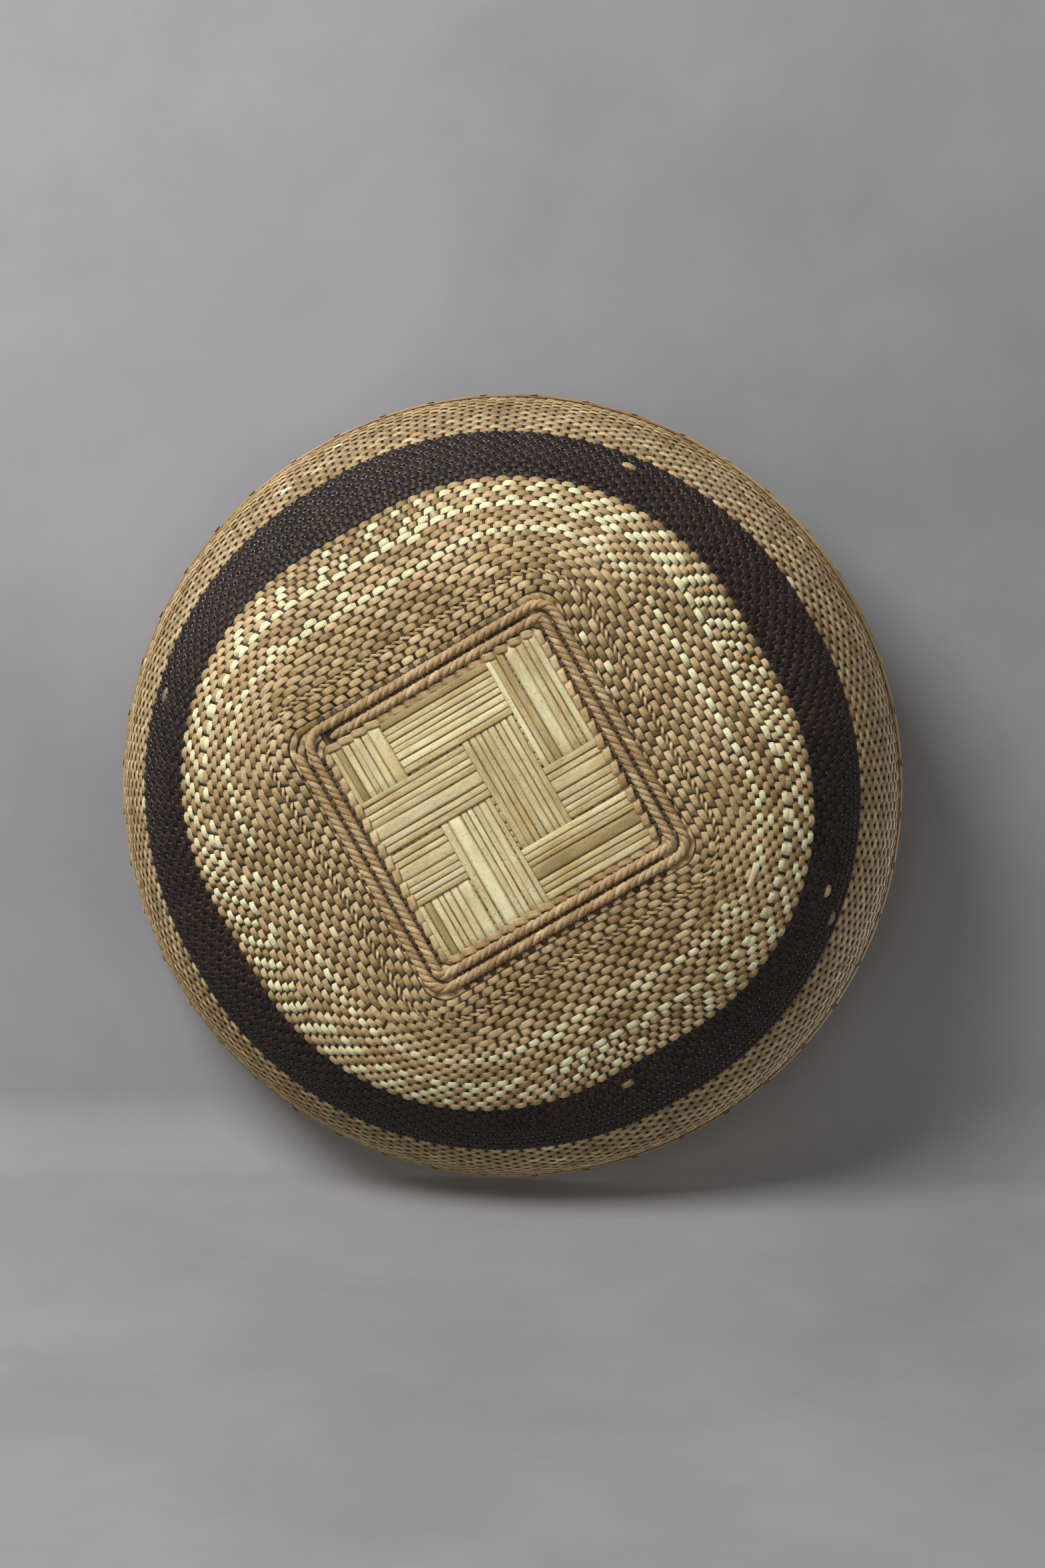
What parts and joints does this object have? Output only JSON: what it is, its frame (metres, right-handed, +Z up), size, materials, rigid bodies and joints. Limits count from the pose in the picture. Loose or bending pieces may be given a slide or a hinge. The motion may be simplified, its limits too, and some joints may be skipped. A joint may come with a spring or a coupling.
{
  "type": "shallow woven basket",
  "caption": "Shallow round hand-woven basket with a square twill foot, a twisted foot cord, a curved plain-weave wall with cream rows and a dark band, and a lashed rim.",
  "frame": {"origin": "on the surface that the basket stands on, under the centre of its square foot", "axes": "+Z up out of the open mouth, X and Y along the foot's sides"},
  "size_m": [0.3508, 0.3508, 0.0897],
  "materials": {
    "split_slat": "split and scraped, satin",
    "binding_strip": "dry, matt",
    "cord_strand": "twisted, matt",
    "stake": "split, matt",
    "tan_weft": "dry strip, matt",
    "cream_weft": "peeled, satin",
    "dark_weft": "dyed, matt",
    "rim_split": "split, satin",
    "lashing_strip": "dry strip, matt"
  },
  "bodies": {
    "root": {"mat_slats_x1": "split_slat", "mat_slats_x2": "split_slat", "mat_slats_x3": "split_slat", "mat_slats_x4": "split_slat", "mat_slats_y1": "split_slat", "mat_slats_y2": "split_slat", "mat_slats_y3": "split_slat", "mat_slats_y4": "split_slat", "mat_edge_binding": "binding_strip", "foot_cord_outside": "cord_strand", "foot_cord_inside": "cord_strand", "stakes_right": "stake", "added_stakes_right": "stake", "stakes_back": "stake", "added_stakes_back": "stake", "stakes_left": "stake", "added_stakes_left": "stake", "stakes_front": "stake", "added_stakes_front": "stake", "foot_weft_rows": "tan_weft", "twined_weft_row": "tan_weft", "lower_weft_rows": "tan_weft", "lower_cream_row": "cream_weft", "middle_weft_rows": "tan_weft", "upper_cream_row": "cream_weft", "stepped_weft_rows": "tan_weft", "last_tan_row": "tan_weft", "dark_weft_rows": "dark_weft", "upper_weft_rows": "tan_weft", "inside_lower_weft": "tan_weft", "inside_dark_weft": "dark_weft", "inside_upper_weft": "tan_weft", "rim_outer_hoop": "rim_split", "rim_inner_hoop": "rim_split", "rim_cane": "rim_split", "rim_lashing": "lashing_strip"}
  },
  "joints": []
}
